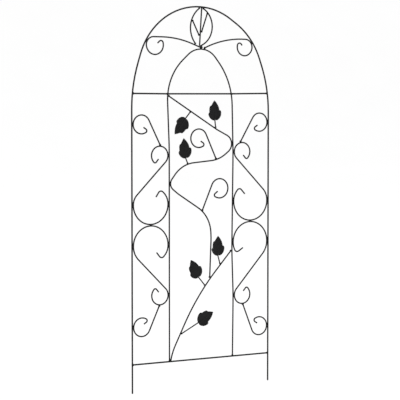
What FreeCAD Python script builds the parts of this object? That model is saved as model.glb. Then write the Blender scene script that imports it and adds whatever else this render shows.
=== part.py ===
"""Garden trellis arch: a flat panel of bent steel rods with scrolls, a climbing vine and six sheet leaves.

The panel stands in the XZ plane: X to the right, Z up, and the front faces -Y. The origin lies on the
ground line midway between the tips of the two outer legs. All sizes are millimetres and degrees.

Every rod is bent cold round pegs, and its centre line is a route: a start point, then pegs that the rod
wraps or corners that it rounds, then an end point, with straight runs tangent to both neighbours.
"""
import FreeCAD
import Part
import Sketcher
import math
import os
from collections import namedtuple

Vector = FreeCAD.Vector

# Driving dimensions. Each one becomes a cell of the sheet, with its name as the alias.
DIMENSIONS = {
    # rods, leaf sheet and weld metal
    "frame_rod": 5,
    "scroll_rod": 4.5,
    "twig_rod": 4,
    "leaf_sheet": 1.2,
    "touch_gap": 0.1,
    "slant_gap": 0.6,
    "bead": 3.7,
    "small_bead": 3.1,
    "hub_bead": 5.2,
    # outer arch and its two stakes
    "overall_height": 1200,
    "leg_spacing": 495,
    "stake_chamfer": 1,
    "left_shoulder_height": 880,
    "left_shoulder_radius": 462,
    "crown_offset": -12.8,
    "crown_radius": 214,
    "right_corner_reach": 187.8,
    "right_corner_height": 1107.4,
    "right_corner_radius": 225,
    "right_shoulder_height": 946,
    "right_shoulder_radius": 430,
    # crossbars
    "low_bar_height": 90,
    "high_bar_height": 926.5,
    "high_bar_rise": 1.2,
    "high_bar_left_end": 242.0,
    "high_bar_left_post": 121.1,
    "high_bar_right_post": 108.25,
    "high_bar_right_end": 240.4,
    # inner arch: nearly straight legs that bow a little where scrolls and vine were welded on
    "inner_left_leg": 116.3,
    "inner_left_knee_height": 762,
    "inner_knee_radius": 1000,
    "inner_left_reach": 122,
    "inner_left_shoulder_height": 909,
    "inner_left_shoulder_radius": 165,
    "inner_apex_offset": -3,
    "inner_apex_height": 1066,
    "inner_apex_radius": 68,
    "inner_right_reach": 112,
    "inner_right_shoulder_height": 886,
    "inner_right_shoulder_radius": 220,
    "inner_right_high_bow": 115.4,
    "high_bow_height": 737,
    "inner_right_pinch": 111.3,
    "pinch_height": 431,
    "inner_right_low_bow": 116.3,
    "low_bow_height": 286,
    "inner_right_foot": 114,
    "bow_radius": 900,
    # curls shared by scrolls, canes and tendrils
    "curl_radius": 29,
    "hook_radius": 6,
    "hook_ease": 0.25,
    "tail_radius": 12,
    "curl_hook_angle": 44,
    "curl_tail_angle": 67.5,
    "cane_hook_angle": 58,
    "cane_tail_angle": 52,
    # S-scrolls: the large loops fill the gap between the legs and meet at one height. A loop is egg
    # shaped: away from the meeting point its two cheeks bend tighter, by these amounts off the radius
    "loops_meet_height": 520.8,
    "loop_middle_rise": 65,
    "loop_cheek_rise": 1,
    "inner_cheek": 13,
    "left_upper_outer_cheek": 18,
    "right_upper_outer_cheek": 12,
    "left_lower_outer_cheek": 3,
    "right_lower_outer_cheek": 3,
    "loop_hook_radius": 10,
    "loop_tail_radius": 23.3,
    "loop_tail_lead": 23.5,
    "left_upper_hook_angle": 53,
    "right_upper_hook_angle": 45.5,
    "left_lower_hook_angle": 48,
    "right_lower_hook_angle": 29.5,
    "left_upper_curl_height": 735.7,
    "right_upper_curl_height": 742.8,
    "left_lower_curl_height": 300,
    "right_lower_curl_height": 285.8,
    # canes that stand on the S-scrolls and lean out to the outer legs
    "left_upper_cane_height": 832.6,
    "right_upper_cane_height": 835.9,
    "left_lower_cane_height": 205.1,
    "right_lower_cane_height": 180.4,
    "left_upper_cane_foot_rise": 32.5,
    "right_upper_cane_foot_rise": 32.4,
    "left_lower_cane_foot_rise": 32.1,
    "right_lower_cane_foot_rise": 32,
    "left_upper_cane_foot_shift": 1.5,
    "right_upper_cane_foot_shift": 5.5,
    "left_lower_cane_foot_shift": -2.5,
    "right_lower_cane_foot_shift": -3,
    # two long scrolls under the crown
    "left_crown_curl_radius": 29.5,
    "right_crown_curl_radius": 27,
    "crown_curl_hook_radius": 8,
    "crown_curl_hook_angle": 14.5,
    "crown_curl_tail_angle": 31,
    "crown_curl_tail_radius": 11.2,
    "crown_shoulder_radius": 25,
    "left_crown_shoulder_shift": 5,
    "right_crown_shoulder_shift": 2.7,
    "left_crown_curl_reach": 166.2,
    "left_crown_curl_height": 1077,
    "left_crown_start": -7.7,
    "left_crown_start_height": 1072.7,
    "left_crown_bend_reach": 86,
    "left_crown_bend_height": 1101.8,
    "right_crown_curl_reach": 157.7,
    "right_crown_curl_height": 1074,
    "right_crown_start": 11.4,
    "right_crown_start_height": 1070,
    "right_crown_bend_reach": 80,
    "right_crown_bend_height": 1101,
    "crown_bend_radius": 320,
    "crown_touch_angle": 31,
    # leaf-shaped finial between the two arches
    "finial_left_foot": -23,
    "finial_left_foot_height": 1083.4,
    "finial_left_centre": 34.6,
    "finial_left_centre_height": 1131.4,
    "finial_left_radius": 74.7,
    "finial_left_top": -8.4,
    "finial_left_top_height": 1193,
    "finial_right_foot": -3.3,
    "finial_right_foot_height": 1076.1,
    "finial_right_centre": -25.5,
    "finial_right_centre_height": 1136.7,
    "finial_right_radius": 64,
    "finial_right_top": 7,
    "finial_right_top_height": 1192,
    "midrib_foot": -7.4,
    "midrib_foot_height": 1076.1,
    "midrib_top": 0.2,
    "midrib_top_height": 1194.4,
    "left_vein_top": -32.3,
    "left_vein_top_height": 1154,
    "left_vein_foot": -9.9,
    "left_vein_foot_height": 1110.4,
    "right_vein_top": 20.3,
    "right_vein_top_height": 1176.1,
    "right_vein_foot": 0.1,
    "right_vein_foot_height": 1120.2,
    "hub_across": -2,
    "hub_height": 1071.8,
    # climbing vine: a stem across the foot of the inner arch, and a winding one above it
    "stem_foot": -111.6,
    "stem_foot_height": 93.2,
    "shared_foot_weld": -114.2,
    "stem_low_bend": -105.9,
    "stem_low_bend_height": 119,
    "stem_low_radius": 195,
    "stem_high_bend": -17.2,
    "stem_high_bend_height": 291.2,
    "stem_high_radius": 760,
    "stem_end": 107.3,
    "stem_end_height": 427.9,
    "vine_foot": 29.7,
    "vine_foot_height": 348.2,
    "vine_bend_1": 34.6,
    "vine_bend_1_height": 470,
    "vine_bend_1_radius": 200,
    "vine_bend_2": 31.8,
    "vine_bend_2_height": 541,
    "vine_bend_2_radius": 100,
    "vine_bend_3": -84.3,
    "vine_bend_3_height": 614.5,
    "vine_bend_3_radius": 100,
    "vine_left_turn_height": 647.1,
    "vine_left_turn_radius": 23,
    "vine_bend_4": -70.7,
    "vine_bend_4_height": 707.3,
    "vine_bend_4_radius": 96,
    "vine_bend_5": 64.6,
    "vine_bend_5_height": 719,
    "vine_bend_5_radius": 100,
    "vine_right_turn_height": 768.3,
    "vine_right_turn_radius": 30.2,
    "vine_right_turn_shift": 0.8,
    "vine_bend_6": 55.9,
    "vine_bend_6_height": 813.9,
    "vine_bend_6_radius": 102,
    "vine_end": -117.8,
    "vine_end_height": 919.7,
    # tendrils
    "high_tendril_foot": 52.4,
    "high_tendril_foot_height": 722.3,
    "high_tendril_curl": -10,
    "high_tendril_curl_height": 787.4,
    "low_tendril_foot": 3.0,
    "low_tendril_foot_height": 561.4,
    "low_tendril_curl": 65.8,
    "low_tendril_curl_height": 628.2,
    "high_tendril_radius": 29,
    "low_tendril_radius": 30.5,
    # leaf blades, measured from the base of the blade along its midrib
    "leaf_length": 62,
    "leaf_lap": 15,
    "leaf_stem_radius": 30,
    "leaf_stem_least_turn": 3,
    "leaf_1": 48.4,
    "leaf_1_height": 843,
    "leaf_1_angle": 92.8,
    "leaf_stem_1": 51,
    "leaf_stem_1_height": 821.4,
    "leaf_2": -58.6,
    "leaf_2_height": 850,
    "leaf_2_angle": 231,
    "leaf_stem_2": -41.1,
    "leaf_stem_2_height": 869.7,
    "leaf_3": -57.6,
    "leaf_3_height": 726,
    "leaf_3_angle": 97.5,
    "leaf_stem_3": -50.5,
    "leaf_stem_3_height": 709.2,
    "leaf_4": 59.5,
    "leaf_4_height": 415,
    "leaf_4_angle": 90.5,
    "leaf_stem_4": 67.15,
    "leaf_stem_4_height": 389.4,
    "leaf_5": -11.6,
    "leaf_5_height": 350,
    "leaf_5_angle": 117.4,
    "leaf_stem_5": 11.3,
    "leaf_stem_5_height": 323.6,
    "leaf_6": -13.6,
    "leaf_6_height": 205,
    "leaf_6_angle": 30.1,
    "leaf_stem_6": -72.3,
    "leaf_stem_6_height": 175.2,
}

Point = namedtuple("Point", "across up")
Peg = namedtuple("Peg", "across up radius way")
Bend = namedtuple("Bend", "across up radius")

ANTICLOCKWISE = 1
CLOCKWISE = -1
SHEET = "Dims"


class Dim:
    """A size that carries both its number and the sheet expression that drives it."""

    def __init__(self, value, text):
        self.value = value
        self.text = text

    @staticmethod
    def of(size):
        if isinstance(size, Dim):
            return size
        return Dim(float(size), f"({size})")

    def __add__(self, other):
        other = Dim.of(other)
        return Dim(self.value + other.value, f"({self.text} + {other.text})")

    def __sub__(self, other):
        other = Dim.of(other)
        return Dim(self.value - other.value, f"({self.text} - {other.text})")

    def __mul__(self, other):
        other = Dim.of(other)
        return Dim(self.value * other.value, f"({self.text} * {other.text})")

    def __truediv__(self, other):
        other = Dim.of(other)
        return Dim(self.value / other.value, f"({self.text} / {other.text})")

    def __neg__(self):
        return self * -1

    __radd__ = __add__
    __rmul__ = __mul__


def cosine(angle):
    return Dim(math.cos(math.radians(angle.value)), f"cos({angle.text})")


def sine(angle):
    return Dim(math.sin(math.radians(angle.value)), f"sin({angle.text})")


def dim(name):
    """The driving dimension of that name."""
    return Dim(float(DIMENSIONS[name]), f"{SHEET}.{name}")


def write_sheet(doc):
    sheet = doc.addObject("Spreadsheet::Sheet", SHEET)
    for row, (name, value) in enumerate(DIMENSIONS.items(), start=1):
        sheet.set(f"A{row}", name)
        sheet.set(f"B{row}", str(value))
        sheet.setAlias(f"B{row}", name)
    doc.recompute()


# ---- routes of bent rods ------------------------------------------------------------------------

def turning_radius(anchor):
    """Radius of a peg, positive when the rod turns anticlockwise round it; nothing for a point."""
    if isinstance(anchor, Peg):
        return anchor.radius.value * anchor.way
    return 0.0


def tangent_run(first, second):
    """Straight run between two anchors: its heading in radians and its two ends."""
    start = Vector(first.across.value, first.up.value, 0)
    end = Vector(second.across.value, second.up.value, 0)
    span = end - start
    lean = (turning_radius(second) - turning_radius(first)) / span.Length
    if abs(lean) >= 1:
        raise ValueError("a peg lies inside its neighbour, so no straight run joins them")
    heading = math.atan2(span.y, span.x) - math.asin(lean)
    left = Vector(-math.sin(heading), math.cos(heading), 0)
    return heading, start - left * turning_radius(first), end - left * turning_radius(second)


def arc_between(centre, radius, entry, leaving, way):
    """Arc that enters at one heading and leaves at another, turning the given way."""
    first = entry - way * math.pi / 2
    last = leaving - way * math.pi / 2
    if way == CLOCKWISE:
        first, last = last, first
    last = first + (last - first) % (2 * math.pi)
    return Part.ArcOfCircle(Part.Circle(centre, Vector(0, 0, 1), radius), first, last)


def route_geometry(route):
    """Lines and arcs of a route in order, and for each arc the way it turns."""
    runs = [tangent_run(first, second) for first, second in zip(route, route[1:])]
    headings = [Vector(math.cos(heading), math.sin(heading), 0) for heading, _, _ in runs]
    ends = [[start, end] for _, start, end in runs]
    arcs = []
    for index, anchor in enumerate(route[1:-1]):
        entry = runs[index][0]
        leaving = runs[index + 1][0]
        if isinstance(anchor, Peg):
            way = anchor.way
            centre = Vector(anchor.across.value, anchor.up.value, 0)
        else:
            turn = (leaving - entry + math.pi) % (2 * math.pi) - math.pi
            way = ANTICLOCKWISE if turn > 0 else CLOCKWISE
            setback = anchor.radius.value * math.tan(abs(turn) / 2)
            ends[index][1] = ends[index][1] - headings[index] * setback
            ends[index + 1][0] = ends[index + 1][0] + headings[index + 1] * setback
            left = Vector(-math.sin(entry), math.cos(entry), 0)
            centre = ends[index][1] + left * way * anchor.radius.value
        arcs.append((arc_between(centre, anchor.radius.value, entry, leaving, way), way))
    for (start, end), heading in zip(ends, headings):
        if (end - start).dot(heading) <= 0:
            raise ValueError("a rounded corner is too wide for the straight runs beside it")
    lines = [Part.LineSegment(start, end) for start, end in ends]
    return lines, arcs


def bind(sketch, constraint, driver):
    """Adds a dimension to a sketch and ties it to its driving expression."""
    index = sketch.addConstraint(constraint)
    sketch.setExpression(f"Constraints[{index}]", driver.text)


def pin_point(sketch, geometry, position, anchor):
    """Fixes a point of the sketch at the anchor's place, measured from the origin."""
    for kind, place in (("DistanceX", anchor.across), ("DistanceY", anchor.up)):
        bind(sketch, Sketcher.Constraint(kind, -1, 1, geometry, position, place.value), place)


def draw_route(sketch, route):
    """Draws a route as tangent lines and arcs, fully dimensioned from the sheet."""
    lines, arcs = route_geometry(route)
    geometry = [lines[0]]
    for (arc, _), line in zip(arcs, lines[1:]):
        geometry += [arc, line]
    sketch.addGeometry(geometry, False)
    for index, (anchor, (_, way)) in enumerate(zip(route[1:-1], arcs)):
        before, arc, after = 2 * index, 2 * index + 1, 2 * index + 2
        entry, leaving = (1, 2) if way == ANTICLOCKWISE else (2, 1)
        sketch.addConstraint(Sketcher.Constraint("Tangent", before, 2, arc, entry))
        sketch.addConstraint(Sketcher.Constraint("Tangent", arc, leaving, after, 1))
        bind(sketch, Sketcher.Constraint("Radius", arc, anchor.radius.value), anchor.radius)
        if isinstance(anchor, Peg):
            pin_point(sketch, arc, 3, anchor)
        else:
            corner = sketch.addGeometry(Part.Point(Vector(anchor.across.value, anchor.up.value, 0)), True)
            sketch.addConstraint(Sketcher.Constraint("PointOnObject", corner, 1, before))
            sketch.addConstraint(Sketcher.Constraint("PointOnObject", corner, 1, after))
            pin_point(sketch, corner, 1, anchor)
    pin_point(sketch, 0, 1, route[0])
    pin_point(sketch, len(geometry) - 1, 2, route[-1])
    return len(geometry)


# ---- sub-part makers ----------------------------------------------------------------------------

def new_body(doc, name):
    """Empty body whose label is the name of its node and its file."""
    body = doc.addObject("PartDesign::Body", name)
    body.Label = name
    return body


def front_sketch(body, name):
    """Sketch on the body's own XZ plane, drawn as seen from the front."""
    sketch = body.newObject("Sketcher::SketchObject", name)
    plane = next(item for item in body.Origin.OriginFeatures if item.Role == "XZ_Plane")
    sketch.AttachmentSupport = [(plane, "")]
    sketch.MapMode = "FlatFace"
    return sketch


def bent_rod(doc, name, thickness, route):
    """Round rod of one thickness, swept along its route."""
    body = new_body(doc, name)
    spine = front_sketch(body, f"{name}_spine")
    edge_count = draw_route(spine, route)
    section = body.newObject("Sketcher::SketchObject", f"{name}_section")
    section.AttachmentSupport = [(spine, "Edge1")]
    section.MapMode = "NormalToEdge"
    section.addGeometry(Part.Circle(Vector(), Vector(0, 0, 1), thickness.value / 2), False)
    section.addConstraint(Sketcher.Constraint("Coincident", 0, 3, -1, 1))
    bind(section, Sketcher.Constraint("Diameter", 0, thickness.value), thickness)
    pipe = body.newObject("PartDesign::AdditivePipe", f"{name}_rod")
    pipe.Profile = section
    pipe.Spine = (spine, [f"Edge{number}" for number in range(1, edge_count + 1)])
    return body


class Welds:
    """Tack welds by group: the place and the radius of each bead."""

    def __init__(self):
        self.groups = {}

    def tack(self, group, across, up, radius):
        self.groups.setdefault(group, []).append((across, up, radius))


# ---- frame --------------------------------------------------------------------------------------

LEG = dim("leg_spacing") / 2
FRAME_HALF = dim("frame_rod") / 2
SCROLL_HALF = dim("scroll_rod") / 2
TWIG_HALF = dim("twig_rod") / 2
GAP = dim("touch_gap")
GROUND = Dim.of(0)
BEAD = dim("bead")
SMALL_BEAD = dim("small_bead")


def outer_arch(doc):
    """One rod: left stake and leg, shoulder, crown, a softer right shoulder, right leg and stake."""
    left_radius = dim("left_shoulder_radius")
    crown_centre = dim("overall_height") - FRAME_HALF - dim("crown_radius")
    route = [
        Point(-LEG, GROUND),
        Peg(left_radius - LEG, dim("left_shoulder_height"), left_radius, CLOCKWISE),
        Peg(dim("crown_offset"), crown_centre, dim("crown_radius"), CLOCKWISE),
        Bend(dim("right_corner_reach"), dim("right_corner_height"), dim("right_corner_radius")),
        Bend(LEG, dim("right_shoulder_height"), dim("right_shoulder_radius")),
        Point(LEG, GROUND),
    ]
    body = bent_rod(doc, "outer_arch", dim("frame_rod"), route)
    doc.recompute()
    pipe = body.Tip
    ends = [f"Edge{number}" for number, edge in enumerate(body.Shape.Edges, start=1)
            if edge.CenterOfMass.z < FRAME_HALF.value / 100]
    chamfer = body.newObject("PartDesign::Chamfer", "stake_ends")
    chamfer.Base = (pipe, ends)
    chamfer.setExpression("Size", dim("stake_chamfer").text)
    return body


def inner_arch(doc):
    """Inner rod: it stands on the low crossbar and its top touches the finial."""
    left_radius = dim("inner_left_shoulder_radius")
    right_radius = dim("inner_right_shoulder_radius")
    left_shoulder = left_radius - dim("inner_left_reach")
    right_shoulder = dim("inner_right_reach") - right_radius
    apex_centre = dim("inner_apex_height") - dim("inner_apex_radius")
    foot = dim("low_bar_height") + FRAME_HALF + GAP
    route = [
        Point(-dim("inner_left_leg"), foot),
        Bend(-dim("inner_left_leg"), dim("inner_left_knee_height"), dim("inner_knee_radius")),
        Peg(left_shoulder, dim("inner_left_shoulder_height"), left_radius, CLOCKWISE),
        Peg(dim("inner_apex_offset"), apex_centre, dim("inner_apex_radius"), CLOCKWISE),
        Peg(right_shoulder, dim("inner_right_shoulder_height"), right_radius, CLOCKWISE),
        Bend(dim("inner_right_high_bow"), dim("high_bow_height"), dim("bow_radius")),
        Bend(dim("inner_right_pinch"), dim("pinch_height"), dim("bow_radius")),
        Bend(dim("inner_right_low_bow"), dim("low_bow_height"), dim("bow_radius")),
        Point(dim("inner_right_foot"), foot),
    ]
    return bent_rod(doc, "inner_arch", dim("scroll_rod"), route)


def inner_leg_reach(side, height):
    """Distance of an inner leg from the middle at a height: straight on the left, bowed on the right."""
    if side == "left":
        return dim("inner_left_leg")
    bows = [
        (dim("inner_right_low_bow"), dim("low_bow_height")),
        (dim("inner_right_pinch"), dim("pinch_height")),
        (dim("inner_right_high_bow"), dim("high_bow_height")),
    ]
    low, high = bows[:2] if height.value < dim("pinch_height").value else bows[1:]
    share = (height - low[1]) / (high[1] - low[1])
    return low[0] + (high[0] - low[0]) * share


def crossbars(doc, welds):
    """A full-width low bar, and a high bar in three spans that fill in between the rods."""
    outer_end = LEG - FRAME_HALF - GAP
    low = dim("low_bar_height")
    high = dim("high_bar_height")
    end = high + dim("high_bar_rise")
    left_end = dim("high_bar_left_end")
    left_post = dim("high_bar_left_post")
    right_post = dim("high_bar_right_post")
    right_end = dim("high_bar_right_end")
    clear = SCROLL_HALF + dim("slant_gap")
    rod = dim("frame_rod")
    spans = {
        "low_crossbar": [Point(-outer_end, low), Point(outer_end, low)],
        "high_crossbar_left": [Point(-left_end, end), Point(-left_post - clear, high)],
        "high_crossbar_middle": [Point(clear - left_post, high), Point(right_post - clear, high)],
        "high_crossbar_right": [Point(right_post + clear, high), Point(right_end, end)],
    }
    for name, span in spans.items():
        bent_rod(doc, name, rod, span)
    for side_sign in (-1, 1):
        welds.tack("frame_welds", outer_end * side_sign, low, BEAD)
    welds.tack("frame_welds", dim("inner_right_foot"), low + FRAME_HALF, BEAD)
    welds.tack("frame_welds", dim("shared_foot_weld"), low + FRAME_HALF, dim("hub_bead"))
    welds.tack("frame_welds", -left_end, end, BEAD)
    welds.tack("frame_welds", right_end, end, BEAD)
    for post in (-left_post, right_post):
        welds.tack("frame_welds", post - clear, high, SMALL_BEAD)
        welds.tack("frame_welds", post + clear, high, SMALL_BEAD)


# ---- scrolls, canes and crown curls --------------------------------------------------------------

def around(centre, radius, angle, side_sign, up_sign):
    """Point at a distance and angle from a centre, in a frame flipped for its side and its half."""
    across = cosine(angle) * radius * side_sign
    up = sine(angle) * radius * up_sign
    return Point(centre.across + across, centre.up + up)


def radius_to_touch(radius):
    """Distance from a curl's centre to the face of the rod that it touches."""
    return radius + SCROLL_HALF + GAP / 2


def s_scroll(doc, welds, side, half):
    """S-scroll: a large loop that fills the gap between the legs, and a small curl at the other end."""
    name = f"{side}_{half}"
    side_sign = -1 if side == "left" else 1
    up_sign = 1 if half == "upper" else -1
    clear = SCROLL_HALF + GAP
    meet = dim("loops_meet_height")
    inner_side = inner_leg_reach(side, meet + dim("loop_middle_rise") * up_sign) + SCROLL_HALF
    outer_side = LEG - FRAME_HALF
    loop_radius = (outer_side - inner_side) / 2 - clear
    loop_reach = (outer_side + inner_side) / 2
    loop_up = meet + (loop_radius + SCROLL_HALF + GAP / 2) * up_sign
    curl_radius = dim("curl_radius")
    curl_up = dim(f"{name}_curl_height")
    curl_reach = inner_leg_reach(side, curl_up) + SCROLL_HALF + clear + curl_radius
    hook = dim("hook_radius")
    hook_at = curl_radius - hook + dim("hook_ease")
    curl = Point(curl_reach * side_sign, curl_up)
    loop = Point(loop_reach * side_sign, loop_up)
    cheek_up = loop_up + dim("loop_cheek_rise") * up_sign
    outer_cheek = dim(f"{name}_outer_cheek")
    inner_cheek = dim("inner_cheek")
    outer_centre = Point((loop_reach + outer_cheek) * side_sign, cheek_up)
    inner_centre = Point((loop_reach - inner_cheek) * side_sign, cheek_up)
    inner_radius = loop_radius - inner_cheek
    loop_hook = dim("loop_hook_radius")
    loop_hook_at = inner_radius - loop_hook + dim("hook_ease")
    loop_angle = dim(f"{name}_hook_angle")
    loop_tail_angle = loop_angle + dim("loop_tail_lead")
    way = side_sign * up_sign
    route = [
        around(curl, dim("tail_radius"), dim("curl_tail_angle"), side_sign, -up_sign),
        Peg(*around(curl, hook_at, dim("curl_hook_angle"), side_sign, -up_sign), hook, way),
        Peg(*curl, curl_radius, way),
        Peg(*outer_centre, loop_radius - outer_cheek, -way),
        Peg(*loop, loop_radius, -way),
        Peg(*inner_centre, inner_radius, -way),
        Peg(*around(inner_centre, loop_hook_at, loop_angle, -side_sign, up_sign), loop_hook, -way),
        around(inner_centre, dim("loop_tail_radius"), loop_tail_angle, -side_sign, up_sign),
    ]
    bent_rod(doc, f"{name}_scroll", dim("scroll_rod"), route)
    welds.tack("scroll_welds", outer_side * side_sign, loop_up, BEAD)
    welds.tack("scroll_welds", inner_side * side_sign, loop_up, BEAD)
    welds.tack("scroll_welds", (curl_reach - radius_to_touch(curl_radius)) * side_sign, curl_up, BEAD)
    if half == "upper":
        welds.tack("scroll_welds", loop.across, meet, BEAD)


def cane(doc, welds, side, half):
    """Cane: it stands on the small curl of its S-scroll and curls over to touch the outer leg."""
    name = f"{side}_{half}"
    side_sign = -1 if side == "left" else 1
    up_sign = 1 if half == "upper" else -1
    clear = SCROLL_HALF + GAP
    radius = dim("curl_radius")
    scroll_up = dim(f"{name}_curl_height")
    scroll_reach = inner_leg_reach(side, scroll_up) + SCROLL_HALF + clear + radius
    foot_reach = scroll_reach - dim(f"{name}_cane_foot_shift")
    foot_up = scroll_up + dim(f"{name}_cane_foot_rise") * up_sign
    curl = Point((LEG - FRAME_HALF - clear - radius) * side_sign, dim(f"{name}_cane_height"))
    hook = dim("hook_radius")
    hook_at = radius - hook + dim("hook_ease")
    way = -side_sign * up_sign
    route = [
        Point(foot_reach * side_sign, foot_up),
        Peg(*curl, radius, way),
        Peg(*around(curl, hook_at, dim("cane_hook_angle"), -side_sign, -up_sign), hook, way),
        around(curl, dim("tail_radius"), dim("cane_tail_angle"), -side_sign, -up_sign),
    ]
    bent_rod(doc, f"{name}_cane", dim("scroll_rod"), route)
    welds.tack("scroll_welds", foot_reach * side_sign, foot_up, BEAD)
    welds.tack("scroll_welds", (LEG - FRAME_HALF) * side_sign, curl.up, BEAD)


def crown_scroll(doc, welds, side):
    """Long scroll from the top of the inner arch out to the outer arch, ending in a curl."""
    side_sign = -1 if side == "left" else 1
    way = -side_sign
    curl = Point(dim(f"{side}_crown_curl_reach") * side_sign, dim(f"{side}_crown_curl_height"))
    radius = dim(f"{side}_crown_curl_radius")
    hook = dim("crown_curl_hook_radius")
    hook_at = radius - hook + dim("hook_ease")
    shoulder = Point(curl.across + dim(f"{side}_crown_shoulder_shift") * side_sign, curl.up)
    route = [
        Point(dim(f"{side}_crown_start"), dim(f"{side}_crown_start_height")),
        Bend(dim(f"{side}_crown_bend_reach") * side_sign, dim(f"{side}_crown_bend_height"),
             dim("crown_bend_radius")),
        Peg(*shoulder, dim("crown_shoulder_radius"), way),
        Peg(*curl, radius, way),
        Peg(*around(curl, hook_at, dim("crown_curl_hook_angle"), -side_sign, 1), hook, way),
        around(curl, dim("crown_curl_tail_radius"), dim("crown_curl_tail_angle"), -side_sign, 1),
    ]
    bent_rod(doc, f"{side}_crown_scroll", dim("scroll_rod"), route)
    touch_radius = radius_to_touch(dim("crown_shoulder_radius"))
    touch = around(shoulder, touch_radius, dim("crown_touch_angle"), side_sign, 1)
    welds.tack("crown_welds", *touch, BEAD)


# ---- finial --------------------------------------------------------------------------------------

def placed(name):
    """Point whose reach and height are both driving dimensions."""
    return Point(dim(name), dim(f"{name}_height"))


def finial(doc, welds):
    """Leaf drawn in rod between the arches: two curved edges, a midrib and two side veins."""
    rod = dim("scroll_rod")
    for side, way in (("left", CLOCKWISE), ("right", ANTICLOCKWISE)):
        centre = placed(f"finial_{side}_centre")
        bulge = Peg(*centre, dim(f"finial_{side}_radius"), way)
        foot = placed(f"finial_{side}_foot")
        top = placed(f"finial_{side}_top")
        bent_rod(doc, f"finial_{side}_edge", rod, [foot, bulge, top])
        vein_foot = placed(f"{side}_vein_foot")
        vein_top = placed(f"{side}_vein_top")
        bent_rod(doc, f"finial_{side}_vein", rod, [vein_foot, vein_top])
        for end in (top, vein_foot, vein_top):
            welds.tack("crown_welds", *end, SMALL_BEAD)
    foot = placed("midrib_foot")
    top = placed("midrib_top")
    bent_rod(doc, "finial_midrib", rod, [foot, top])
    welds.tack("crown_welds", *top, SMALL_BEAD)
    welds.tack("crown_welds", *placed("finial_left_foot"), SMALL_BEAD)
    welds.tack("crown_welds", dim("hub_across"), dim("hub_height"), dim("hub_bead"))
    welds.tack("crown_welds", *placed("right_crown_start"), BEAD)


# ---- vine ----------------------------------------------------------------------------------------

def corner(name):
    """Rounded corner whose place and radius are driving dimensions."""
    return Bend(dim(name), dim(f"{name}_height"), dim(f"{name}_radius"))


def vine(doc, welds):
    """Straight-running lower stem, and a winding upper vine that touches both inner legs."""
    clear = SCROLL_HALF * 2 + GAP
    stem = [
        placed("stem_foot"),
        Bend(dim("stem_low_bend"), dim("stem_low_bend_height"), dim("stem_low_radius")),
        Bend(dim("stem_high_bend"), dim("stem_high_bend_height"), dim("stem_high_radius")),
        placed("stem_end"),
    ]
    left_up = dim("vine_left_turn_height")
    left_radius = dim("vine_left_turn_radius")
    left_across = left_radius + clear - inner_leg_reach("left", left_up)
    right_up = dim("vine_right_turn_height")
    right_radius = dim("vine_right_turn_radius")
    right_across = dim("inner_right_high_bow") - clear - right_radius - dim("vine_right_turn_shift")
    winding = [
        placed("vine_foot"),
        corner("vine_bend_1"),
        corner("vine_bend_2"),
        corner("vine_bend_3"),
        Peg(left_across, left_up, left_radius, CLOCKWISE),
        corner("vine_bend_4"),
        corner("vine_bend_5"),
        Peg(right_across, right_up, right_radius, ANTICLOCKWISE),
        corner("vine_bend_6"),
        placed("vine_end"),
    ]
    rod = dim("scroll_rod")
    bent_rod(doc, "lower_vine_stem", rod, stem)
    bent_rod(doc, "winding_vine", rod, winding)
    for end in (stem[-1], winding[0], winding[-1]):
        welds.tack("vine_welds", *end, BEAD)
    welds.tack("vine_welds", left_across - radius_to_touch(left_radius), left_up, BEAD)
    welds.tack("vine_welds", right_across + radius_to_touch(right_radius), right_up, BEAD)


def tendril(doc, welds, level, side_sign):
    """Tendril that rises from the vine and curls over to one side."""
    curl = placed(f"{level}_tendril_curl")
    radius = dim(f"{level}_tendril_radius")
    hook = dim("hook_radius")
    hook_at = radius - hook + dim("hook_ease")
    way = -side_sign
    route = [
        placed(f"{level}_tendril_foot"),
        Peg(*curl, radius, way),
        Peg(*around(curl, hook_at, dim("cane_hook_angle"), -side_sign, -1), hook, way),
        around(curl, dim("tail_radius"), dim("cane_tail_angle"), -side_sign, -1),
    ]
    bent_rod(doc, f"{level}_tendril", dim("scroll_rod"), route)
    welds.tack("vine_welds", *route[0], BEAD)


# ---- leaves --------------------------------------------------------------------------------------

LEAVES = 6

# Blade outline, from the base round the right side to the tip and down the left side. Each corner is
# given across and along the midrib as shares of the blade's length, with the radius of the rounded
# edge that leads to it as a share too, or None for a straight edge.
LEAF_OUTLINE = [
    (0.000, 0.040, 0.12),
    (0.090, 0.008, 0.12),
    (0.339, 0.340, 0.38),
    (0.322, 0.475, 0.20),
    (0.250, 0.500, None),
    (0.185, 0.742, 0.80),
    (0.000, 1.000, 1.10),
    (-0.195, 0.750, 1.10),
    (-0.290, 0.710, 0.15),
    (-0.330, 0.435, 0.60),
    (-0.403, 0.340, None),
    (-0.105, 0.008, 0.41),
]


def rounded_edge(start, end, radius):
    """Arc from start to end that bulges to the right of the way it runs, so outward on this outline."""
    middle = (start + end) / 2
    run = end - start
    inward = Vector(-run.y, run.x, 0) / run.Length
    centre = middle + inward * math.sqrt(radius ** 2 - (run.Length / 2) ** 2)
    first = math.atan2(start.y - centre.y, start.x - centre.x)
    last = math.atan2(end.y - centre.y, end.x - centre.x)
    last = first + (last - first) % (2 * math.pi)
    return Part.ArcOfCircle(Part.Circle(centre, Vector(0, 0, 1), radius), first, last)


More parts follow.
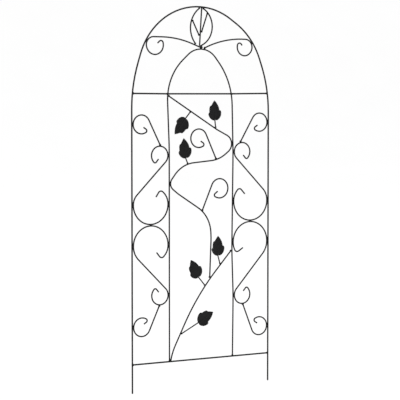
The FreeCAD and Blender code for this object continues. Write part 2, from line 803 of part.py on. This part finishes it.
def draw_leaf(sketch):
    """Toothed blade outline, with every corner and radius in proportion to the blade's length."""
    length = dim("leaf_length")
    corners = [Vector(across, along, 0) * length.value for across, along, _ in LEAF_OUTLINE]
    for index, (_, _, radius) in enumerate(LEAF_OUTLINE):
        start, end = corners[index - 1], corners[index]
        if radius is None:
            sketch.addGeometry(Part.LineSegment(start, end), False)
        else:
            sketch.addGeometry(rounded_edge(start, end, radius * length.value), False)
    count = len(LEAF_OUTLINE)
    for index, (across, along, radius) in enumerate(LEAF_OUTLINE):
        sketch.addConstraint(Sketcher.Constraint("Coincident", index, 2, (index + 1) % count, 1))
        pin_point(sketch, index, 2, Point(length * across, length * along))
        if radius is not None:
            bind(sketch, Sketcher.Constraint("Radius", index, radius * length.value), length * radius)


def leaf(doc, welds, number):
    """Sheet blade lapped over the front of its own bent stem, which springs from the vine."""
    base = placed(f"leaf_{number}")
    heading = dim(f"leaf_{number}_angle")
    foot = placed(f"leaf_stem_{number}")
    lap = dim("leaf_lap")
    lap_end = Point(base.across + cosine(heading) * lap, base.up + sine(heading) * lap)
    rise = base.up.value - foot.up.value
    run = base.across.value - foot.across.value
    turn = (math.degrees(math.atan2(rise, run)) - heading.value + 180) % 360 - 180
    route = [foot, lap_end]
    if abs(turn) > dim("leaf_stem_least_turn").value:
        route.insert(1, Bend(*base, dim("leaf_stem_radius")))
    bent_rod(doc, f"leaf_stem_{number}", dim("twig_rod"), route)
    welds.tack("leaf_welds", *foot, SMALL_BEAD)

    body = new_body(doc, f"leaf_{number}")
    outline = front_sketch(body, f"leaf_{number}_outline")
    draw_leaf(outline)
    blade = body.newObject("PartDesign::Pad", f"leaf_{number}_blade")
    blade.Profile = outline
    blade.setExpression("Length", dim("leaf_sheet").text)
    body.Placement.Rotation = FreeCAD.Rotation(Vector(0, -1, 0), heading.value - 90)
    body.setExpression("Placement.Rotation.Angle", (heading - 90).text)
    body.setExpression("Placement.Base.x", base.across.text)
    body.setExpression("Placement.Base.y", (-(TWIG_HALF + GAP / 2)).text)
    body.setExpression("Placement.Base.z", base.up.text)


# ---- welds ---------------------------------------------------------------------------------------

def neighbours(bodies, centre, radius):
    """The bodies that reach into a ball."""
    box = FreeCAD.BoundBox(centre, centre)
    box.enlarge(radius)
    close = [body for body in bodies if body.Shape.BoundBox.intersect(box)]
    return [body for body in close if body.Shape.distToShape(Part.Vertex(centre))[0] < radius]


def weld_bead(doc, name, bead, bodies):
    """One bead: a ball on the joint, less the pieces that it runs up against."""
    across, up, radius = bead
    ball = doc.addObject("Part::Sphere", f"{name}_ball")
    ball.setExpression("Radius", radius.text)
    ball.setExpression("Placement.Base.x", across.text)
    ball.setExpression("Placement.Base.z", up.text)
    joined = doc.addObject("Part::Compound", f"{name}_joined")
    joined.Links = neighbours(bodies, Vector(across.value, 0, up.value), radius.value)
    cut = doc.addObject("Part::Cut", name)
    cut.Base = ball
    cut.Tool = joined
    return cut


def weld_group(doc, name, beads, bodies):
    """One node that holds a group of weld beads as separate solids."""
    group = doc.addObject("Part::Compound", name)
    group.Label = name
    group.Links = [
        weld_bead(doc, f"{name}_{number}", bead, bodies)
        for number, bead in enumerate(beads, start=1)
    ]
    return group


# ---- assembly ------------------------------------------------------------------------------------

def build(doc):
    write_sheet(doc)
    welds = Welds()
    outer_arch(doc)
    inner_arch(doc)
    crossbars(doc, welds)
    for side in ("left", "right"):
        for half in ("upper", "lower"):
            s_scroll(doc, welds, side, half)
            cane(doc, welds, side, half)
        crown_scroll(doc, welds, side)
    finial(doc, welds)
    vine(doc, welds)
    tendril(doc, welds, "high", -1)
    tendril(doc, welds, "low", 1)
    for number in range(1, LEAVES + 1):
        leaf(doc, welds, number)
    doc.recompute()
    bodies = [item for item in doc.Objects if item.TypeId == "PartDesign::Body"]
    groups = [weld_group(doc, name, beads, bodies) for name, beads in welds.groups.items()]
    doc.recompute()
    return bodies + groups


def check_rod(body):
    """Stops if a rod's metal isn't its section times the length of its spine."""
    spine, section = body.Group[:2]
    radius = section.Geometry[0].Radius
    expected = math.pi * radius ** 2 * spine.Shape.Length
    if abs(body.Shape.Volume / expected - 1) > 0.01:
        raise RuntimeError(f"{body.Label} is pinched or folded along its route")


def check(doc, nodes):
    """Stops with a plain message if any object failed or any node has no sound shape."""
    for item in doc.Objects:
        if "Invalid" in item.State or "Error" in item.State:
            raise RuntimeError(f"{item.Label} failed: {item.State}")
    for item in doc.findObjects("Sketcher::SketchObject"):
        if not item.FullyConstrained:
            raise RuntimeError(f"{item.Label} isn't fully constrained")
    for node in nodes:
        if node.Shape.isNull() or not node.Shape.isValid() or not node.Shape.Solids:
            raise RuntimeError(f"{node.Label} has no valid solid")
    for pipe in doc.findObjects("PartDesign::AdditivePipe"):
        check_rod(pipe.getParent())


def export(nodes):
    os.makedirs("parts", exist_ok=True)
    for node in nodes:
        node.Shape.exportStep(f"parts/{node.Label}.step")


document = FreeCAD.newDocument("TrellisArch")
all_nodes = build(document)
check(document, all_nodes)
export(all_nodes)
print(f"{len(all_nodes)} nodes written")
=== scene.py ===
"""Looks of the garden trellis panel: black powder-coated rod, stamped sheet leaves, tack welds, pale studio.

Units are metres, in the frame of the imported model: X right, Z up, and the front faces -Y.
"""

import math
import random

import bmesh
import bpy
import numpy as np
from mathutils import Matrix, Vector, noise
from mathutils.bvhtree import BVHTree
from mathutils.geometry import delaunay_2d_cdt


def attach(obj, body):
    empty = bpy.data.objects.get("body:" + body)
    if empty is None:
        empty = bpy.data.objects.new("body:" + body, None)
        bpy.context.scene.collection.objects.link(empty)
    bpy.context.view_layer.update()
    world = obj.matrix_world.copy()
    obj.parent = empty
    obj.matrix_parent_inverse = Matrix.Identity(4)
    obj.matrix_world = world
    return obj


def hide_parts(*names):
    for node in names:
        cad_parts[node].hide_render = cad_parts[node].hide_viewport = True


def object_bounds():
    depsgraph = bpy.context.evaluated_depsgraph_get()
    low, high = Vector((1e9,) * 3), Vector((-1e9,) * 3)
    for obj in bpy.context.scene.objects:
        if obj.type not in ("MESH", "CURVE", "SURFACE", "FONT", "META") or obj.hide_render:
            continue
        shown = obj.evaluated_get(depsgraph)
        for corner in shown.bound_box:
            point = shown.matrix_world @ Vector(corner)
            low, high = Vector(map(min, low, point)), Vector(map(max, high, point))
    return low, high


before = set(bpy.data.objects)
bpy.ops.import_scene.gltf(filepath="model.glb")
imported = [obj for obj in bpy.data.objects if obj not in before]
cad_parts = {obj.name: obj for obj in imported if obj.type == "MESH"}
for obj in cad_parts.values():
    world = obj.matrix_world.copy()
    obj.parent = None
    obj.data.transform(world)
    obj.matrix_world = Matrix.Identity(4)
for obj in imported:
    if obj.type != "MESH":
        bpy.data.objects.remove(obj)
CAD_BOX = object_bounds()

MM = 0.001
ROOT = "root"
WELD_GROUPS = ("frame_welds", "scroll_welds", "crown_welds", "vine_welds", "leaf_welds")
MERGE_DISTANCE = 0.002 * MM
LARGEST_ROD_RADIUS = 3 * MM
BEAD_REACH = 5 * MM
STAKE_TIP_HEIGHT = 10 * MM

# Each leaf: place of the blade's base across and up, and the heading of its midrib in degrees.
LEAVES = {
    "leaf_1": (48.4, 843, 92.8),
    "leaf_2": (-58.6, 850, 231),
    "leaf_3": (-57.6, 726, 97.5),
    "leaf_4": (59.5, 415, 90.5),
    "leaf_5": (-11.6, 350, 117.4),
    "leaf_6": (-13.6, 205, 30.1),
}
LEAF_LENGTH = 62
LEAF_SHEET = 1.2
STEM_HALF = 2.05
STEM_LAP = 15
OUTLINE_STEP = 0.3
RIM_ROUNDING = 0.28

# Blade outline from the base round the right side to the tip and down the left side: each corner across
# and along the midrib, and the radius of the edge that leads to it, as shares of the blade's length.
LEAF_OUTLINE = [
    (0.000, 0.040, 0.12),
    (0.090, 0.008, 0.12),
    (0.339, 0.340, 0.38),
    (0.322, 0.475, 0.20),
    (0.250, 0.500, None),
    (0.185, 0.742, 0.80),
    (0.000, 1.000, 1.10),
    (-0.195, 0.750, 1.10),
    (-0.290, 0.710, 0.15),
    (-0.330, 0.435, 0.60),
    (-0.403, 0.340, None),
    (-0.105, 0.008, 0.41),
]

# Fine saw teeth all round a blade, pointing to its tip, in millimetres. They fade out over the last stretch
# before the base. Each tooth is drawn by corners: how far along the tooth they are from its tip end, and
# how far out, as shares of its pitch and depth.
TOOTH_PITCH = 3.4
TOOTH_DEPTH = 0.9
TOOTH_FADE = 12
TOOTH_CORNERS = ((0.05, 1.0), (0.5, 0.45), (0.93, 0.0))

# Side veins of a blade: where each leaves the midrib and where it ends, as shares of the blade's length.
SIDE_VEINS = [
    ((0.0, 0.13), (0.27, 0.36)),
    ((0.0, 0.32), (0.24, 0.56)),
    ((0.0, 0.52), (0.15, 0.75)),
    ((0.0, 0.15), (-0.33, 0.35)),
    ((0.0, 0.33), (-0.27, 0.62)),
    ((0.0, 0.53), (-0.17, 0.77)),
]

# Stamped relief of a blade, in millimetres: the rise and half width of a vein, how much of its rise is lost
# by its far end, and the soft pillows between veins. The dish and droop grow with the square of the share
# of the length across from the midrib, and along past the droop's start.
MIDRIB_RISE, MIDRIB_LOSS, MIDRIB_WIDTH = 0.95, 0.65, 1.15
VEIN_RISE, VEIN_LOSS, VEIN_WIDTH = 0.55, 0.4, 0.75
PILLOW_RISE, PILLOW_WIDTH = 0.45, 3.2
DISH, DROOP, DROOP_START = 9.0, 1.6, 0.45

# Colours of what lies on the black coat.
DUST = (0.12, 0.115, 0.11)
SCUFF = (0.09, 0.09, 0.092)


# ---- meshes -------------------------------------------------------------------------------------

def new_piece(name, mesh, material):
    """Object that rides on the one body and takes the finish it is given."""
    piece = bpy.data.objects.new(name, mesh)
    bpy.context.scene.collection.objects.link(piece)
    mesh.materials.append(material)
    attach(piece, ROOT)
    return piece


def mesh_from(name, builder):
    """Mesh made of everything in a bmesh, shaded smooth."""
    mesh = bpy.data.meshes.new(name)
    builder.to_mesh(mesh)
    builder.free()
    for polygon in mesh.polygons:
        polygon.use_smooth = True
    return mesh


# ---- materials ----------------------------------------------------------------------------------

class Graph:
    """Short way to add and join the nodes of one material."""

    def __init__(self, name):
        self.material = bpy.data.materials.new(name)
        self.material.use_nodes = True
        self.tree = self.material.node_tree
        self.shader = self.tree.nodes["Principled BSDF"]

    def add(self, kind, **settings):
        node = self.tree.nodes.new(kind)
        for key, value in settings.items():
            setattr(node, key, value)
        return node

    def join(self, source, target):
        self.tree.links.new(source, target)

    def noise(self, place, scale, detail, roughness=0.5):
        node = self.add("ShaderNodeTexNoise")
        node.inputs["Scale"].default_value = scale
        node.inputs["Detail"].default_value = detail
        node.inputs["Roughness"].default_value = roughness
        self.join(place, node.inputs["Vector"])
        return node.outputs["Fac"]

    def spread(self, source, low_in, high_in, low_out, high_out):
        """Maps a range of one value to another range, and holds it at both ends."""
        node = self.add("ShaderNodeMapRange")
        node.inputs["From Min"].default_value = low_in
        node.inputs["From Max"].default_value = high_in
        node.inputs["To Min"].default_value = low_out
        node.inputs["To Max"].default_value = high_out
        self.join(source, node.inputs["Value"])
        return node.outputs["Result"]

    def times(self, first, second):
        node = self.add("ShaderNodeMath", operation="MULTIPLY")
        self.join(first, node.inputs[0])
        self.join(second, node.inputs[1])
        return node.outputs[0]

    def tint(self, share, under, over):
        """Colour that goes from under to over as share goes from 0 to 1."""
        node = self.add("ShaderNodeMix", data_type="RGBA")
        self.join(share, node.inputs["Factor"])
        for socket, colour in ((node.inputs["A"], under), (node.inputs["B"], over)):
            if isinstance(colour, tuple):
                socket.default_value = (*colour, 1)
            else:
                self.join(colour, socket)
        return node.outputs["Result"]

    def bump(self, height, strength, depth, after=None):
        node = self.add("ShaderNodeBump")
        node.inputs["Strength"].default_value = strength
        node.inputs["Distance"].default_value = depth
        self.join(height, node.inputs["Height"])
        if after is not None:
            self.join(after, node.inputs["Normal"])
        return node.outputs["Normal"]


def powder_coat(name, black, roughness, peel_size, peel_depth, scuff_share):
    """Satin black powder coat: orange peel, cloudy gloss, dust on what faces up, and a few pale scuffs.

    The size and depth of the orange peel are in millimetres.
    """
    graph = Graph(name)
    place = graph.add("ShaderNodeTexCoord").outputs["Object"]
    normal = graph.add("ShaderNodeNewGeometry").outputs["Normal"]
    up = graph.add("ShaderNodeSeparateXYZ")
    graph.join(normal, up.inputs[0])

    cloud = graph.noise(place, 55, 4)
    grain = graph.noise(place, 2600, 2)
    coat = graph.tint(graph.spread(cloud, 0.3, 0.7, 0, 1), black, tuple(c * 1.6 for c in black))

    facing_up = graph.spread(up.outputs["Z"], 0.35, 1.0, 0, 1)
    specks = graph.spread(grain, 0.45, 0.75, 0.01, 0.12)
    coat = graph.tint(graph.times(facing_up, specks), coat, DUST)

    patches = graph.spread(graph.noise(place, 38, 3), 0.62, 0.72, 0, 1)
    marks = graph.spread(graph.noise(place, 1400, 5, 0.7), 0.60, 0.66, 0, 1)
    scuffs = graph.spread(graph.times(patches, marks), 0, 1, 0, scuff_share)
    coat = graph.tint(scuffs, coat, SCUFF)
    graph.join(coat, graph.shader.inputs["Base Color"])

    gloss = graph.add("ShaderNodeMath", operation="ADD")
    graph.join(graph.spread(cloud, 0.25, 0.75, roughness - 0.05, roughness + 0.07), gloss.inputs[0])
    graph.join(graph.spread(scuffs, 0, 1, 0, 0.25), gloss.inputs[1])
    graph.join(gloss.outputs[0], graph.shader.inputs["Roughness"])
    graph.shader.inputs["Specular IOR Level"].default_value = 0.2
    graph.shader.inputs["Metallic"].default_value = 0.0

    peel = graph.noise(place, 1 / (peel_size * MM), 2)
    shaped = graph.bump(peel, 0.5, peel_depth * MM)
    fine = graph.bump(grain, 0.25, 0.02 * MM, after=shaped)
    graph.join(fine, graph.shader.inputs["Normal"])
    return graph.material


def rod_coat():
    return powder_coat("rod_powder_coat", (0.0045, 0.0045, 0.0048), 0.42, 1.3, 0.06, 0.5)


def leaf_coat():
    return powder_coat("leaf_powder_coat", (0.0050, 0.0050, 0.0053), 0.42, 1.0, 0.05, 0.8)


def weld_coat():
    return powder_coat("weld_powder_coat", (0.0042, 0.0042, 0.0046), 0.40, 0.7, 0.12, 0.3)


def studio_white():
    """Floor and backdrop: an even white glow that keeps them pale behind the dark rods, faintly mottled."""
    graph = Graph("studio_white")
    place = graph.add("ShaderNodeTexCoord").outputs["Object"]
    mottle = graph.spread(graph.noise(place, 3, 3), 0.3, 0.7, 0, 1)
    graph.join(graph.tint(mottle, (0.19, 0.19, 0.19), (0.21, 0.21, 0.21)), graph.shader.inputs["Base Color"])
    graph.shader.inputs["Roughness"].default_value = 0.9
    graph.shader.inputs["Specular IOR Level"].default_value = 0.1
    graph.shader.inputs["Emission Color"].default_value = (1, 1, 1, 1)
    graph.shader.inputs["Emission Strength"].default_value = 0.895
    return graph.material


# ---- leaves -------------------------------------------------------------------------------------

def edge_points(start, end, radius, step):
    """Points from start up to end along a straight edge, or along an arc that bulges outward."""
    run = end - start
    count = max(2, round(run.length / step))
    shares = [number / count for number in range(count)]
    if radius is None:
        return [start + run * share for share in shares]
    inward = Vector((-run.y, run.x)).normalized()
    centre = (start + end) / 2 + inward * math.sqrt(radius ** 2 - (run.length / 2) ** 2)
    first = math.atan2(start.y - centre.y, start.x - centre.x)
    sweep = (math.atan2(end.y - centre.y, end.x - centre.x) - first) % math.tau
    angles = [first + sweep * share for share in shares]
    return [centre + Vector((math.cos(angle), math.sin(angle))) * radius for angle in angles]


def smooth_outline():
    """Closed outline of a blade without its fine teeth, in millimetres across and along the midrib."""
    corners = [Vector((across, along)) * LEAF_LENGTH for across, along, _ in LEAF_OUTLINE]
    outline = []
    for index, (_, _, radius) in enumerate(LEAF_OUTLINE):
        size = None if radius is None else radius * LEAF_LENGTH
        outline += edge_points(corners[index - 1], corners[index], size, OUTLINE_STEP)
    return outline


def toothed_side(side, way):
    """One side of the outline from the tip down to the base, with teeth that fade out at the base."""
    points = np.array([(point.x, point.y) for point in side])
    lengths = np.concatenate(([0.0], np.cumsum(np.hypot(*np.diff(points, axis=0).T))))
    teeth = round(lengths[-1] / TOOTH_PITCH)
    pitch = lengths[-1] / teeth
    toothed = []
    for tooth in range(teeth):
        for share, reach in TOOTH_CORNERS:
            distance = (tooth + share) * pitch
            here = Vector([np.interp(distance, lengths, axis) for axis in points.T])
            after = Vector([np.interp(distance + 0.5, lengths, axis) for axis in points.T])
            outward = Vector((here.y - after.y, after.x - here.x)).normalized() * way
            fade = min(1.0, (lengths[-1] - distance) / TOOTH_FADE)
            toothed.append(here + outward * reach * TOOTH_DEPTH * fade)
    return toothed


def blade_outline():
    """Closed outline of a blade with its fine teeth: from the base up the right side and down the left."""
    outline = smooth_outline()
    base = min(range(len(outline)), key=lambda index: abs(outline[index].x) + abs(outline[index].y))
    outline = outline[base:] + outline[:base]
    tip = max(range(len(outline)), key=lambda index: outline[index].y)
    right = toothed_side(outline[tip::-1], 1)
    left = toothed_side(outline[tip:] + outline[:1], -1)
    return outline[:1] + right[::-1] + left


def inside(point, outline):
    """True if the point lies in the outline, by counting the edges that a line to the right crosses."""
    crossings = 0
    for first, second in zip(outline, outline[1:] + outline[:1]):
        if (first.y > point.y) != (second.y > point.y):
            share = (point.y - first.y) / (second.y - first.y)
            crossings += point.x < first.x + (second.x - first.x) * share
    return crossings % 2 == 1


def distance_to_run(point, start, end):
    """Distance from a point to a straight run, and how far along the run that is, from 0 to 1."""
    run = end - start
    share = min(1.0, max(0.0, (point - start).dot(run) / run.length_squared))
    return (point - start - run * share).length, share


def stamped_height(point):
    """How far the blade stands proud at a point: dished sides, a drooping tip, pillows and veins."""
    across = point.x / LEAF_LENGTH
    along = point.y / LEAF_LENGTH
    height = DISH * across ** 2 - DROOP * max(0.0, along - DROOP_START) ** 2
    midrib, share = distance_to_run(point, Vector((0, 2.5)), Vector((0, LEAF_LENGTH - 3)))
    height += (MIDRIB_RISE - MIDRIB_LOSS * share) * math.exp(-(midrib / MIDRIB_WIDTH) ** 2)
    nearest = midrib
    for start, end in SIDE_VEINS:
        gap, share = distance_to_run(point, Vector(start) * LEAF_LENGTH, Vector(end) * LEAF_LENGTH)
        nearest = min(nearest, gap)
        height += (VEIN_RISE - VEIN_LOSS * share) * math.exp(-(gap / VEIN_WIDTH) ** 2)
    return height + PILLOW_RISE * (1 - math.exp(-(nearest / PILLOW_WIDTH) ** 2))


def blade_triangles(grid):
    """Outline and grid points of a blade joined to triangles: the points, the triangles and the rim."""
    outline = blade_outline()
    rim = list(range(len(outline)))
    points = list(outline)
    rows = int(LEAF_LENGTH / grid)
    for row in range(rows):
        for column in range(-rows, rows):
            shift = 0.5 * grid * (row % 2)
            point = Vector((column * grid + shift, row * grid))
            clear = min((point - edge).length for edge in outline)
            if clear > grid * 0.6 and inside(point, outline):
                points.append(point)
    edges = [(index, (index + 1) % len(rim)) for index in rim]
    flat, _, faces, *_ = delaunay_2d_cdt(points, edges, [], 1, 1e-6)
    return flat, faces, rim


def blade_mesh(name, flat, faces, rim, placing):
    """Sheet with the stamped relief on both faces and a rounded rim, put in its place."""
    builder = bmesh.new()
    heights = [stamped_height(point) for point in flat]
    back = [builder.verts.new(placing @ Vector((p.x, p.y, h))) for p, h in zip(flat, heights)]
    front = [builder.verts.new(placing @ Vector((p.x, p.y, h + LEAF_SHEET))) for p, h in zip(flat, heights)]
    for face in faces:
        builder.faces.new([front[index] for index in face])
        builder.faces.new([back[index] for index in reversed(face)])
    count = len(rim)
    middle = []
    for index in rim:
        along = flat[(index + 1) % count] - flat[index - 1]
        outward = Vector((along.y, -along.x)).normalized() * LEAF_SHEET * RIM_ROUNDING
        spot = (flat[index].x + outward.x, flat[index].y + outward.y, heights[index] + LEAF_SHEET / 2)
        middle.append(builder.verts.new(placing @ Vector(spot)))
    for index in rim:
        after = (index + 1) % count
        builder.faces.new((back[index], back[after], middle[after], middle[index]))
        builder.faces.new((middle[index], middle[after], front[after], front[index]))
    bmesh.ops.recalc_face_normals(builder, faces=builder.faces)
    return mesh_from(name, builder)


def leaf_placing(across, up, heading):
    """Turns a blade's own millimetres (across, along, proud) into its place in the panel."""
    turn = math.radians(heading)
    side = Vector((math.sin(turn), 0, -math.cos(turn)))
    along = Vector((math.cos(turn), 0, math.sin(turn)))
    proud = Vector((0, -1, 0))
    matrix = Matrix((side, along, proud)).transposed().to_4x4() * MM
    matrix[3][3] = 1
    matrix.translation = Vector((across, -STEM_HALF, up)) * MM
    return matrix


def make_leaves(material):
    """Stamped blades in place of the plain ones."""
    flat, faces, rim = blade_triangles(1.0)
    for name, (across, up, heading) in LEAVES.items():
        mesh = blade_mesh(f"{name}_blade", flat, faces, rim, leaf_placing(across, up, heading))
        piece = new_piece(f"{name}_blade", mesh, material)
        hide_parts(name)


# ---- welds --------------------------------------------------------------------------------------

def islands(mesh):
    """Point sets of the separate closed shells of a mesh."""
    builder = bmesh.new()
    builder.from_mesh(mesh)
    bmesh.ops.remove_doubles(builder, verts=builder.verts, dist=MERGE_DISTANCE)
    reached = set()
    for first in builder.verts:
        if first in reached:
            continue
        reached.add(first)
        stack = [first]
        shell = [first]
        while stack:
            vertex = stack.pop()
            for edge in vertex.link_edges:
                other = edge.other_vert(vertex)
                if other not in reached:
                    reached.add(other)
                    stack.append(other)
                    shell.append(other)
        yield np.array([vertex.co for vertex in shell])
    builder.free()


def fit_ball(points):
    """Centre and radius of the ball that a weld bead was cut from. Beads are centred on Y = 0.

    Only points well off the plane of the panel are used, because those lie on the ball and not on a cut.
    """
    radius = max(abs(points[:, 1]))
    skin = points[abs(points[:, 1]) > 0.55 * radius]
    sums = skin[:, 0] ** 2 + skin[:, 1] ** 2 + skin[:, 2] ** 2
    table = np.column_stack((2 * skin[:, 0], 2 * skin[:, 2], np.ones(len(skin))))
    across, up, _ = np.linalg.lstsq(table, sums, rcond=None)[0]
    return Vector((across, 0, up)), radius


def add_blob(builder, centre, size, detail, roughness, seed, ripples):
    """Lump of weld metal: a ball with uneven sides and frozen ripples across one way."""
    ball = bmesh.ops.create_icosphere(builder, subdivisions=detail, radius=1.0)
    chance = random.Random(seed)
    turn = chance.uniform(0, math.pi)
    ripple_way = Vector((math.cos(turn), 0, math.sin(turn)))
    offset = Vector((seed * 1.7, seed * 0.9, seed * 2.3))
    for vertex in ball["verts"]:
        out = vertex.co.normalized()
        swell = 1 + roughness * noise.noise(out * 1.6 + offset)
        swell += 0.3 * roughness * noise.noise(out * 5 + offset)
        swell += ripples * math.cos(out.dot(ripple_way) * math.pi * 5)
        vertex.co = centre + Vector((out.x * size[0], out.y * size[1], out.z * size[2])) * swell


def add_spatter(builder, centre, reach, rods, chance):
    """A few droplets of spatter stuck to the rods round a bead."""
    for _ in range(chance.randint(2, 5)):
        away = Vector([chance.uniform(-1, 1) for _ in range(3)]).normalized()
        spot, normal, _, _ = rods.find_nearest(centre + away * reach * chance.uniform(1.3, 2.6))
        if spot is None or (spot - centre).length < reach * 0.9:
            continue
        size = chance.uniform(0.22, 0.5) * MM
        drop = bmesh.ops.create_icosphere(builder, subdivisions=2, radius=size)
        for vertex in drop["verts"]:
            vertex.co += spot - normal * size * 0.2


def rod_surface(names):
    """Search tree over the surface of the named CAD nodes."""
    builder = bmesh.new()
    for name in names:
        builder.from_mesh(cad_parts[name].data)
    tree = BVHTree.FromBMesh(builder)
    builder.free()
    return tree


def make_welds(material, rods):
    """Rippled beads and spatter in place of the plain balls, one piece for each group of welds."""
    centres = []
    for group in WELD_GROUPS:
        builder = bmesh.new()
        for points in islands(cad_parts[group].data):
            centre, radius = fit_ball(points)
            seed = len(centres) + 1
            chance = random.Random(seed)
            size = [radius * chance.uniform(0.94, 1.04) for _ in range(3)]
            add_blob(builder, centre, size, 4, 0.16, seed, 0.022)
            add_spatter(builder, centre, radius, rods, chance)
            centres.append(centre)
        name = f"{group}_beads"
        piece = new_piece(name, mesh_from(name, builder), material)
        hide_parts(group)
    return centres


def make_leaf_tacks(material):
    """Short beads that hold each blade to its stem, hidden behind the blade."""
    builder = bmesh.new()
    for number, (across, up, heading) in enumerate(LEAVES.values(), start=1):
        placing = leaf_placing(across, up, heading)
        for along, side in ((4.5, 1), (STEM_LAP - 2.5, -1), (STEM_LAP + 0.6, 0)):
            centre = placing @ Vector((side * 1.5, along, -0.3))
            size = [1.5 * MM, 0.9 * MM, 1.5 * MM]
            add_blob(builder, centre, size, 3, 0.2, 90 + number * 3 + along, 0.03)
    new_piece("leaf_tack_beads", mesh_from("leaf_tack_beads", builder), material)


# ---- rod ends -----------------------------------------------------------------------------------

def cut_ends(mesh):
    """Centre, outward way and radius of each flat round end of a rod."""
    builder = bmesh.new()
    builder.from_mesh(mesh)
    bmesh.ops.remove_doubles(builder, verts=builder.verts, dist=MERGE_DISTANCE)
    bmesh.ops.dissolve_limit(builder, angle_limit=0.01, verts=builder.verts, edges=builder.edges)
    for face in builder.faces:
        if len(face.verts) < 12:
            continue
        centre = face.calc_center_median()
        radius = max((vertex.co - centre).length for vertex in face.verts)
        nearly_full_circle = face.calc_area() > 2.8 * radius ** 2
        if radius < LARGEST_ROD_RADIUS and nearly_full_circle:
            yield centre, face.normal.copy(), radius
    builder.free()


def add_dome(builder, centre, way, radius):
    """Shallow crown of thick coating over a sheared end, with a soft rolled edge.

    Each ring's reach and height, as shares of the rod's radius, follow a curve from the edge to the tip.
    """
    rings = 6
    around = 28
    side = way.orthogonal().normalized()
    other = way.cross(side)
    loops = []
    for ring in range(rings):
        lean = ring / rings * math.pi / 2
        reach = radius * (1.0 - 0.16 * (1 - math.cos(lean)) - 0.72 * (ring / rings) ** 2)
        height = radius * (0.05 + 0.17 * math.sin(lean))
        loop = []
        for step in range(around):
            turn = step / around * math.tau
            spoke = side * math.cos(turn) + other * math.sin(turn)
            loop.append(builder.verts.new(centre + spoke * reach + way * (height - 0.06 * radius)))
        loops.append(loop)
    tip = builder.verts.new(centre + way * radius * 0.17)
    for low, high in zip(loops, loops[1:]):
        for step in range(around):
            after = (step + 1) % around
            builder.faces.new((low[step], low[after], high[after], high[step]))
    for step in range(around):
        builder.faces.new((loops[-1][step], loops[-1][(step + 1) % around], tip))
    builder.faces.new(list(reversed(loops[0])))


def make_rod_ends(material, names, weld_centres):
    """Softened ends on every rod that stops in the open."""
    builder = bmesh.new()
    for name in names:
        for centre, way, radius in cut_ends(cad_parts[name].data):
            welded = min((centre - weld).length for weld in weld_centres) < BEAD_REACH
            if not welded and centre.z > STAKE_TIP_HEIGHT:
                add_dome(builder, centre, way, radius)
    new_piece("coated_rod_ends", mesh_from("coated_rod_ends", builder), material)


# ---- stage, light and camera ----------------------------------------------------------------------

def make_stage():
    """Pale floor that sweeps up into a backdrop behind the panel."""
    half_width = 30.0
    front = -22.0
    back = 9.0
    height = 14.0
    sweep = 4.0
    profile = [(front, 0.0)]
    steps = 24
    for step in range(steps + 1):
        turn = step / steps * math.pi / 2
        profile.append((back - sweep + sweep * math.sin(turn), sweep - sweep * math.cos(turn)))
    profile.append((back, height))
    builder = bmesh.new()
    rows = [[builder.verts.new((x, y, z)) for x in (-half_width, half_width)] for y, z in profile]
    for low, high in zip(rows, rows[1:]):
        builder.faces.new((low[0], low[1], high[1], high[0]))
    mesh = mesh_from("studio_floor", builder)
    mesh.materials.append(studio_white())
    floor = bpy.data.objects.new("studio_floor", mesh)
    bpy.context.scene.collection.objects.link(floor)


def add_softbox(name, place, target, size, power):
    lamp = bpy.data.lights.new(name, "AREA")
    lamp.shape = "RECTANGLE"
    lamp.size, lamp.size_y = size
    lamp.energy = power
    softbox = bpy.data.objects.new(name, lamp)
    softbox.location = place
    softbox.rotation_euler = (Vector(target) - Vector(place)).to_track_quat("-Z", "Y").to_euler()
    bpy.context.scene.collection.objects.link(softbox)


def make_lights(middle):
    """Large soft lights on both sides and overhead, and an even white surround."""
    world = bpy.data.worlds.new("studio_surround")
    world.use_nodes = True
    surround = world.node_tree.nodes["Background"]
    surround.inputs["Color"].default_value = (1, 1, 1, 1)
    surround.inputs["Strength"].default_value = 0.24
    bpy.context.scene.world = world
    add_softbox("key_softbox", (-3.2, -3.6, 3.4), middle, (1.6, 1.6), 90)
    add_softbox("fill_softbox", (4.0, -2.8, 2.2), middle, (2.4, 2.4), 22)
    add_softbox("top_softbox", (0.0, 1.5, 4.5), middle, (4.0, 3.0), 40)


def make_camera():
    """Long-lens camera to the left of the panel's front, tilted down a little to frame all of it."""
    camera_height = 0.927
    distance = 5.296
    swing = math.radians(-30.19)
    tilt = math.radians(3.607)
    lens = bpy.data.cameras.new("camera")
    lens.sensor_width = 36
    lens.lens = 151.85
    lens.shift_x = -0.004
    camera = bpy.data.objects.new("camera", lens)
    camera.location = (math.sin(swing) * distance, -math.cos(swing) * distance, camera_height)
    camera.rotation_euler = (math.pi / 2 - tilt, 0, swing)
    bpy.context.scene.collection.objects.link(camera)
    bpy.context.scene.camera = camera


# ---- assembly -----------------------------------------------------------------------------------

rod_material = rod_coat()
leaf_material = leaf_coat()
weld_material = weld_coat()
rod_names = sorted(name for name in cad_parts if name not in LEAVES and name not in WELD_GROUPS)
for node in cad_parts.values():
    node.data.materials.clear()
    node.data.materials.append(rod_material)

make_leaves(leaf_material)
weld_places = make_welds(weld_material, rod_surface(rod_names))
make_leaf_tacks(weld_material)
make_rod_ends(rod_material, rod_names, weld_places)

low_corner, high_corner = CAD_BOX
make_stage()
make_lights((low_corner + high_corner) / 2)
make_camera()
bpy.context.scene.view_settings.view_transform = "Standard"
